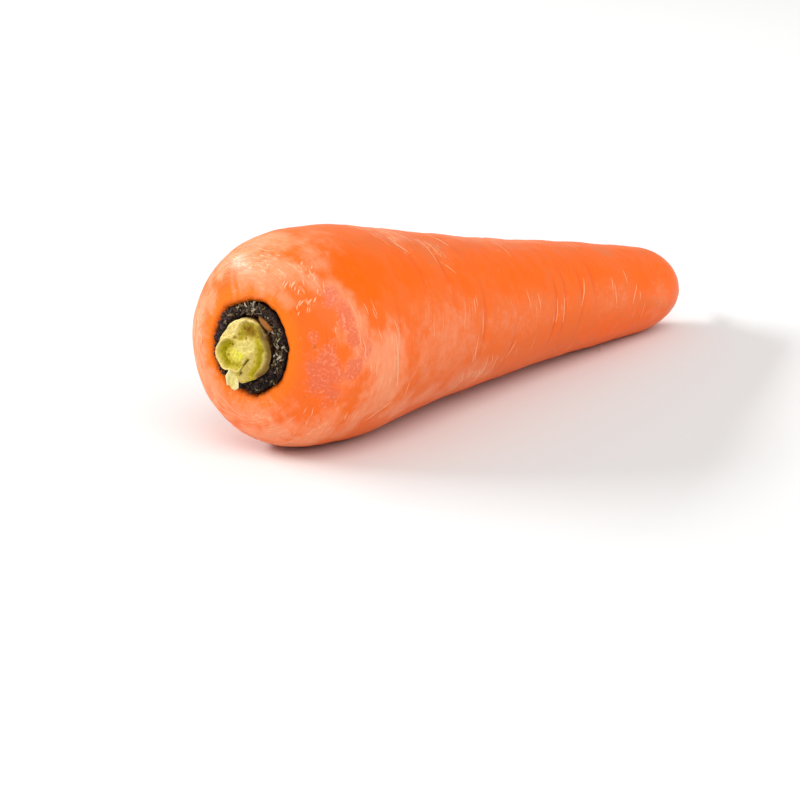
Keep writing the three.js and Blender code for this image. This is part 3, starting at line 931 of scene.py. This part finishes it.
stalk = {
    # angle and distance from the middle of the stub's edge, where it was cut
    "outline": [(-164, 5.7), (-134, 6.7), (-106, 6.3), (-75, 5.6), (-49, 5.1), (-20, 5.9),
                (8, 6.5), (33, 7.9), (52, 7.1), (75, 7.45), (95, 7.95), (116, 8.45), (136, 7.9),
                (158, 7.6), (174, 8.0), (184, 6.9)],
    "outlineRounding": 40,
    "footRadius": 6.45,
    "around": 380,
    "topRows": 120,
    "wallRows": 44,
    # places in the crown face, mm
    "innerStalk": (-1.7, -1.5),  # middle of the round stalk on the left
    "innerRadius": 4.05,
    "core": (0.3, -1.6),
    "brightSpot": (1.6, -1.4),
    "sheath": (3.0, 2.9),        # middle of the older sheath above it
    "sheathRadius": 3.2,
    "pith": (3.1, 0.5),
    "hollow": (2.9, 4.1),
    "dryPatch": (6.6, -1.8),     # pale patch near its right edge
    "rib": [(4.2, 0.8), (4.4, -1.6), (4.0, -3.2), (2.6, -5.0), (1.3, -7.0)],
    "valley": [(5.3, 3.8), (5.7, 1.6), (5.9, -0.7), (5.5, -3.0), (3.6, -5.6)],
    "ridge": [(6.3, 3.6), (6.9, 1.4), (7.2, -1.2), (6.6, -3.4), (4.8, -5.8)],
    "crack": [(3.2, -2.2), (2.4, -3.4), (1.5, -4.8), (0.8, -6.0)],
    # middles and radii of small dark pits
    "pits": [(-0.6, 2.5, 0.34), (2.2, 2.1, 0.3), (-1.5, 0.6, 0.4), (5.2, 2.9, 0.26),
             (-3.9, -0.6, 0.22)],
    # heights over the crown face, and how far the finer forms rise or sink, mm
    "high": {"inner": 3.55, "innerRim": 0.75, "innerGroove": -0.9, "core": 0.3, "pith": 3.5,
             "sheath": 2.7, "band": 0.6, "sheathRim": 0.3, "hollow": -0.8, "right": 2.3,
             "rightFall": -0.7, "rib": 0.8, "valley": -0.4, "ridge": 0.4, "crackSides": 1.1,
             "crack": -1.1, "edge": -0.5, "pit": -0.3},
    # as for layeredRelief
    "bends": [[(54, 3.2, 40, 0.22, 1)], [(55, 3.2, 40, 0.22, 1)]],
    "roughness": [(51, 1.3, 40, 0.1, 1), (52, 0.5, 60, 0.06, 1)],
    "mottling": [(56, 0.9, 60, 1.0, 1)],
    "wallRidges": [(53, 0.9, 60, 1.0, 1)],
    "cells": (1500.0, 3.0),      # cycles in a metre and detail: strands of 0.7 mm in the cut
    "lime": "#c4b236",
    "cream": "#e6cf84",
    "green": "#b2a30a",
    "coreLime": "#dacd4e",
    "spot": "#e4e020",
    "pithCream": "#dcc974",
    "olive": "#8f6a06",
    "tan": "#b08a48",
    "brown": "#5f3d20",
    "dark": "#3d2c12",
}


def pathDistance(x, y, path):
    nearest = np.full(np.shape(x), 1e9)
    for (x0, y0), (x1, y1) in zip(path[:-1], path[1:]):
        dx, dy = x1 - x0, y1 - y0
        t = np.clip(((x - x0) * dx + (y - y0) * dy) / (dx * dx + dy * dy), 0, 1)
        nearest = np.minimum(nearest, np.hypot(x - x0 - t * dx, y - y0 - t * dy))
    return nearest


def stalkEdge(angle):
    spots = np.array(stalk["outline"], dtype=float)
    fine = np.arange(0, 360, 1.0)
    edge = np.interp(fine, spots[:, 0] % 360, spots[:, 1], period=360)
    for _ in range(stalk["outlineRounding"]):
        edge = 0.25 * np.roll(edge, 1) + 0.5 * edge + 0.25 * np.roll(edge, -1)
    return np.interp(np.degrees(angle) % 360, fine, edge, period=360)


def stalkTop(x, y, edgeAway):
    # height of the cut face and the share of each of its colours
    high = stalk["high"]
    bends = [layeredRelief(pointGrid(x, y), layers) for layers in stalk["bends"]]
    x, y = x + bends[0], y + bends[1]

    def distance(name, stretchX=1.0, stretchY=1.0):
        return np.hypot(stretchX * (x - stalk[name][0]), stretchY * (y - stalk[name][1]))

    def turnRound(name):
        return np.degrees(np.arctan2(x - stalk[name][0], y - stalk[name][1]))

    def heightOf(base, forms):
        return high[base] + sum(high[name] * share for name, share in forms.items())

    # the round stalk on the left: its lower right side bulges towards the crack, and on
    # its upper right it has grown together with the pith beside it
    away, turn = distance("innerStalk"), turnRound("innerStalk")
    away = away - 0.9 * hump(turn - 128, 30) * smoothStep(away, 1.5, 4)
    isInner = inside(away, stalk["innerRadius"], 0.35)
    merged = smoothStep(turn, 8, 40) * (1 - smoothStep(turn, 100, 125))
    leftSide = 0.25 + 0.75 * smoothStep(np.cos(np.radians(turn + 95)), -0.2, 0.5)
    rim = hump(away - stalk["innerRadius"] + 0.42, 0.36)
    rim = rim * (0.35 + 0.65 * leftSide) * (1 - merged)
    groove = hump(away - 2.3, 0.8) * leftSide * (1 - merged)
    core = inside(distance("core", 1.0, 1.25), 1.7, 1.0)
    innerHeight = heightOf("inner", {"innerRim": rim, "innerGroove": groove, "core": core})

    # the older sheath above it, with a broad cream band along its outer side
    sheathAway, sheathRadius = distance("sheath"), stalk["sheathRadius"]
    bandSide = inside(np.abs(turnRound("sheath") + 40), 74, 30)
    band = smoothStep(sheathAway, sheathRadius - 0.4, sheathRadius + 0.4) * bandSide
    isSheath = np.maximum(inside(sheathAway, sheathRadius + 0.3, 0.8), band)
    hollow = hump(distance("hollow", 0.85, 1.1), 1.6)
    sheathRim = hump(sheathAway - sheathRadius - 0.5, 0.5) * bandSide
    sheathHeight = heightOf("sheath", {"band": band, "sheathRim": sheathRim, "hollow": hollow})

    # the right side, with a rib, a green valley and a dry ridge, falls off to its edge
    isPith = inside(distance("pith"), 2.1, 1.5)
    crackAway = pathDistance(x, y, stalk["crack"])
    rib = inside(pathDistance(x, y, stalk["rib"]), 0.9, 1.1)
    valley = hump(pathDistance(x, y, stalk["valley"]), 0.65)
    ridge = hump(pathDistance(x, y, stalk["ridge"]), 0.55)
    crack = hump(crackAway, 0.17)
    height = heightOf("right", {
        "rightFall": smoothStep(x, 5.0, 8.6), "rib": rib, "valley": valley * (1 - rib),
        "ridge": ridge, "crackSides": (1 - rib) * hump(crackAway, 1.4)})
    height = height + isSheath * np.maximum(0, sheathHeight - height)
    height = height + isPith * np.maximum(0, high["pith"] - height)
    height = height + isInner * (innerHeight - height) + high["crack"] * crack
    edgeShare = (1 - smoothStep(edgeAway, 0, 0.8)) * smoothStep(x, 2, 5)
    pit = np.zeros(np.shape(x))
    for px, py, radius in stalk["pits"]:
        pit = np.maximum(pit, hump(np.hypot(x - px, y - py), radius))
    height = height + high["edge"] * edgeShare + high["pit"] * pit

    own = isInner * (1 - merged)
    outer = (1 - isInner) * (1 - isPith) * (1 - bandSide * isSheath)
    # browner towards the right edge, where the cut falls off: painted shade
    rightEdge = (1 - smoothStep(edgeAway, 0.1, 1.2)) * smoothStep(x, 3.5, 6.0) * (1 - bandSide)
    dryPatch = hump(distance("dryPatch", 1.0, 0.6), 0.9)
    lowRidge = ridge * (1 - smoothStep(y, -4, 0))
    shares = {
        "pithCream": 0.9 * isPith * (1 - own) + 0.8 * merged * isInner * (1 - core)
                     + 0.75 * (rib + 0.5 * ridge + 0.7 * dryPatch) * outer,
        "tan": (0.5 * lowRidge + 0.35 * rib) * outer,
        "cream": 1.2 * isInner * rim + 0.8 * band * (1 - isInner),
        "green": 1.4 * own * groove + 0.95 * valley * outer,
        "coreLime": core * isInner,
        "spot": hump(distance("brightSpot"), 0.5),
        "olive": 1.15 * hollow * isSheath * (1 - isInner) + 0.8 * pit,
        "brown": 0.85 * rightEdge,
        # the crack painted dark: painted shade
        "dark": 0.9 * crack,
    }
    return height, shares


def makeStalkMaterial():
    # Cut leaf stalk: wet, watery tissue with a green-yellow glow, paler and drier at the rims.
    material, tree = startMaterial("cutGreenStalk")
    tint = addNode(tree, "Attribute", attribute_name="tint").outputs["Color"]
    coords = addNode(tree, "TexCoord").outputs["Object"]
    scale, detail = stalk["cells"]
    cells = addNode(tree, "TexNoise", {"Scale": scale, "Detail": detail},
                    {"Vector": coords}).outputs["Fac"]
    darker = addNode(tree, "MapRange", {1: 0.3, 2: 0.7, 3: 0.8, 4: 1.12}, {0: cells})
    colour = addNode(tree, "VectorMath", {}, {0: tint, "Scale": darker.outputs[0]},
                     operation="SCALE")
    bump = addNode(tree, "Bump", {"Strength": 0.5, "Distance": 0.1 * mm},
                   {"Height": cells})
    shader = addNode(tree, "BsdfPrincipled", {
        "Roughness": 0.5,
        "IOR": 1.4,
        "Specular IOR Level": 0.2,
        "Subsurface Weight": 0.15,
        "Subsurface Radius": (0.8, 1.0, 0.3),
        "Subsurface Scale": 0.9 * mm,
    }, {"Base Color": colour.outputs[0], "Normal": bump.outputs[0]})
    addNode(tree, "OutputMaterial", {}, {"Surface": shader.outputs[0]})
    return material


def plainTint(shape, hexText):
    return np.zeros((*shape, 3)) + np.array(linearColour(hexText)[:3])


def mixTint(tint, hexText, share):
    return tint + (np.array(linearColour(hexText)[:3]) - tint) * np.clip(share, 0, 1)[..., None]


def makeStalk(material):
    around = stalk["around"]
    angle = np.linspace(0, 2 * math.pi, around, endpoint=False)[None, :]
    edge = stalkEdge(angle)
    share = np.linspace(0, 1, stalk["topRows"])[1:, None] ** 0.9
    x, y = planAt(share * edge, angle)
    top, parts = stalkTop(x, y, edge - share * edge)
    rough = layeredRelief(pointGrid(x, y), stalk["roughness"])
    top = top + rough * (1 + 0.8 * np.clip(parts["olive"], 0, 1))
    top = top - 0.3 * smoothStep(share, 0.93, 1.0)
    mottled = layeredRelief(pointGrid(x, y), stalk["mottling"])
    tint = mixTint(plainTint(x.shape, stalk["lime"]), stalk["olive"], 0.12 + 0.35 * mottled)
    for name, part in parts.items():
        tint = mixTint(tint, stalk[name], part)
    # wall, from the cut edge down to the foot in the ring
    down = np.linspace(0, 1, stalk["wallRows"])[1:, None]
    foot, footRadius = root["gap"] - root["recessDepth"], stalk["footRadius"]
    wallHeight = top[-1:] + (foot - top[-1:]) * down
    spread = np.maximum(smoothStep(wallHeight, -0.3, 2.2), (1 - down) ** 8)
    wallReach = footRadius + (edge - footRadius) * spread
    wallPlace = pointGrid(*planAt(6, angle), wallHeight * 0.25)
    ridges = layeredRelief(wallPlace, stalk["wallRidges"])
    ridgeShare = np.minimum(1, 6 * down) * smoothStep(wallHeight, -0.6, 0.4)
    wallReach = wallReach + 0.08 * ridges * ridgeShare
    # the wall is painted darker tan and brown on its right side and low down towards the ring:
    # painted shade
    right = smoothStep(np.sin(angle), -0.1, 0.6)
    low = 1 - smoothStep(wallHeight, -0.6, 1.5)
    wallTint = plainTint(wallHeight.shape, stalk["cream"])
    wallTint = mixTint(wallTint, stalk["tan"], 0.25 + 0.6 * right + 0.3 * ridges)
    wallTint = mixTint(wallTint, stalk["brown"], 0.85 * low + (0.3 + 0.25 * ridges) * right)
    wallX, wallY = planAt(wallReach, angle)
    points = onCrown(np.vstack([x, wallX]), np.vstack([y, wallY]), np.vstack([top, wallHeight]))
    rows = len(top) + len(wallHeight)
    faces = gridFaces(rows, around).tolist()
    # the middle of the cut and the middle of the foot
    middleHeight, _ = stalkTop(np.zeros(1), np.zeros(1), np.full(1, 5.0))
    points = np.vstack([points.reshape(-1, 3), onCrown(0, 0, middleHeight), onCrown(0, 0, foot)])
    first, last = rows * around, rows * around + 1
    for c in range(around):
        after = (c + 1) % around
        faces.append((first, after, c))
        faces.append((last, (rows - 1) * around + c, (rows - 1) * around + after))
    piece = addMesh("stalkStub", points, faces, material)
    ends = [plainTint((1,), stalk[name]) for name in ("lime", "brown")]
    addTint(piece, np.vstack([tint.reshape(-1, 3), wallTint.reshape(-1, 3), *ends]))
    print("stalk stub:", len(piece.data.polygons), "faces")
    return piece


def addTint(piece, tints):
    layer = piece.data.attributes.new("tint", "FLOAT_COLOR", "POINT")
    full = np.hstack([tints, np.ones((len(tints), 1))])
    layer.data.foreach_set("color", full.astype(np.float32).ravel())


flap = {
    # torn strip of outer stalk, hanging from the cut over the ring
    "root": (-0.9, -5.1, 2.6),
    "middle": (-1.9, -7.4, 2.2),
    "tip": (-3.3, -9.6, 1.2),
    "halfWidths": (1.9, 1.8, 2.3, 1.2),
    "thickness": 0.4,
    "colour": "#ddcd78",
    "edge": "#f0e6ae",
}
dryScale = {
    # dry tan scale of a leaf base, standing against the stub's upper right
    "root": (6.8, 4.3, -0.2),
    "middle": (6.5, 6.0, 1.6),
    "tip": (5.2, 7.5, 2.3),
    "halfWidths": (0.7, 0.9, 0.8, 0.3),
    "thickness": 0.3,
    "colour": "#b8763a",
    "edge": "#6e4424",
}


def makeStrip(name, strip, material):
    long, wide = 22, 14
    t = np.linspace(0, 1, long)[:, None]
    a, b, c = (np.array(strip[k]) for k in ("root", "middle", "tip"))
    spine = (1 - t) ** 2 * a + 2 * t * (1 - t) * b + t ** 2 * c
    heading = np.gradient(spine, axis=0)
    across = np.stack([-heading[:, 1], heading[:, 0], 0 * heading[:, 0]], axis=1)
    across /= np.linalg.norm(across, axis=1)[:, None]
    width = np.interp(t[:, 0], np.linspace(0, 1, len(strip["halfWidths"])), strip["halfWidths"])
    u = np.linspace(-1, 1, wide)[None, :]
    raggedEnd = 0.5 * np.sin(u * 5.2 + 0.7) * t ** 4
    plan = spine[:, None, :] + (across * width[:, None])[:, None, :] * u[..., None]
    plan = plan + (heading * 6)[:, None, :] * raggedEnd[..., None] * 0.5
    plan[..., 2] += 0.3 * u ** 2 - 0.15 + 0.08 * np.sin(u * 9 + 3 * t)
    thick = strip["thickness"] * (1 - 0.5 * t) * (1 - 0.6 * u ** 4)
    top, bottom = (onCrown(plan[..., 0], plan[..., 1], plan[..., 2] + side * thick / 2)
                   for side in (1, -1))
    loop = np.concatenate([top, bottom[:, ::-1]], axis=1)
    loopSize = 2 * wide
    faces = gridFaces(long, loopSize)[:, ::-1].tolist()
    faces.append(tuple(range(loopSize)))
    faces.append(tuple(reversed(range((long - 1) * loopSize, long * loopSize))))
    piece = addMesh(name, loop.reshape(-1, 3), faces, material)
    nearEdge = np.abs(u) ** 3 + 0 * t
    rim = np.concatenate([nearEdge, nearEdge[:, ::-1]], axis=1)
    tint = mixTint(plainTint(rim.shape, strip["colour"]), strip["edge"], rim)
    addTint(piece, tint.reshape(-1, 3))
    print(name + ":", len(piece.data.polygons), "faces")
    return piece


stalkMaterial = makeStalkMaterial()
stalkStub = makeStalk(stalkMaterial)
tornFlap = makeStrip("tornStalkFlap", flap, stalkMaterial)
leafScale = makeStrip("dryLeafScale", dryScale, stalkMaterial)
for piece in (stalkStub, tornFlap, leafScale):
    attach(piece, "root")
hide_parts("stalk_stub")


# Floor, light and camera

studio = {
    "floorColour": "#e2e2e1",
    "floorHalf": 4000,           # mm
    "skyColour": "#ffffff",
    "skyStrength": 0.6,
    "keyPower": 39.0,            # long window behind on the left: its streak lies on the shoulder
    "keySize": (1.55, 0.26),
    "keyFrom": (-0.6, 1.71, 0.97),
    "frontStrength": 1.75,       # broad light from above the viewer
    "frontAngle": 55,            # degrees across
    "frontFrom": (-0.4, -0.58, 0.71),
}


def makeFloor():
    # Matt white paper sweep: a pale ground that shows only a soft contact shadow.
    material, tree = startMaterial("paperSweep")
    shader = addNode(tree, "BsdfPrincipled", {
        "Base Color": linearColour(studio["floorColour"]), "Roughness": 0.9})
    addNode(tree, "OutputMaterial", {}, {"Surface": shader.outputs[0]})
    half = studio["floorHalf"]
    corners = [(-half, -half, 0), (half, -half, 0), (half, half, 0), (-half, half, 0)]
    floor = addMesh("floor", np.array(corners, dtype=float), [(0, 1, 2, 3)], material, smooth=False)


def addLight(name, kind, place, power):
    light = bpy.data.lights.new(name, kind)
    light.energy = power
    lamp = bpy.data.objects.new(name, light)
    lamp.location = place
    lamp.rotation_mode = "QUATERNION"
    lamp.rotation_quaternion = (Vector((-0.09, 0, 0.03)) - Vector(place)).to_track_quat("-Z", "Y")
    bpy.context.scene.collection.objects.link(lamp)
    return light


def makeCamera():
    a, e = math.radians(view["azimuth"]), math.radians(view["elevation"])
    back = Vector((math.sin(a) * math.cos(e), -math.cos(a) * math.cos(e), math.sin(e)))
    right = Vector((math.cos(a), math.sin(a), 0))
    up = back.cross(right)
    x, y, ahead = view["crownInView"]
    camera = bpy.data.objects.new("camera", bpy.data.cameras.new("camera"))
    camera.data.lens = view["lens"]
    camera.data.sensor_width = 36
    camera.data.clip_start = 0.02
    camera.data.clip_end = 20
    place = (Vector(crownPoint) - x * right - y * up + ahead * back) * mm
    turn = Matrix((right, up, back)).transposed().to_4x4()
    camera.matrix_world = Matrix.Translation(place) @ turn
    bpy.context.scene.collection.objects.link(camera)
    bpy.context.scene.camera = camera


makeFloor()
world = bpy.data.worlds.new("softStudio")
bpy.context.scene.world = world
world.use_nodes = True
world.node_tree.nodes["Background"].inputs[0].default_value = linearColour(studio["skyColour"])
world.node_tree.nodes["Background"].inputs[1].default_value = studio["skyStrength"]
keyLight = addLight("keyLight", "AREA", studio["keyFrom"], studio["keyPower"])
keyLight.shape = "RECTANGLE"
keyLight.size, keyLight.size_y = studio["keySize"]
frontLight = addLight("frontLight", "SUN", studio["frontFrom"], studio["frontStrength"])
frontLight.angle = math.radians(studio["frontAngle"])
makeCamera()
bpy.context.scene.view_settings.view_transform = "Standard"
print("floor, light and camera made")
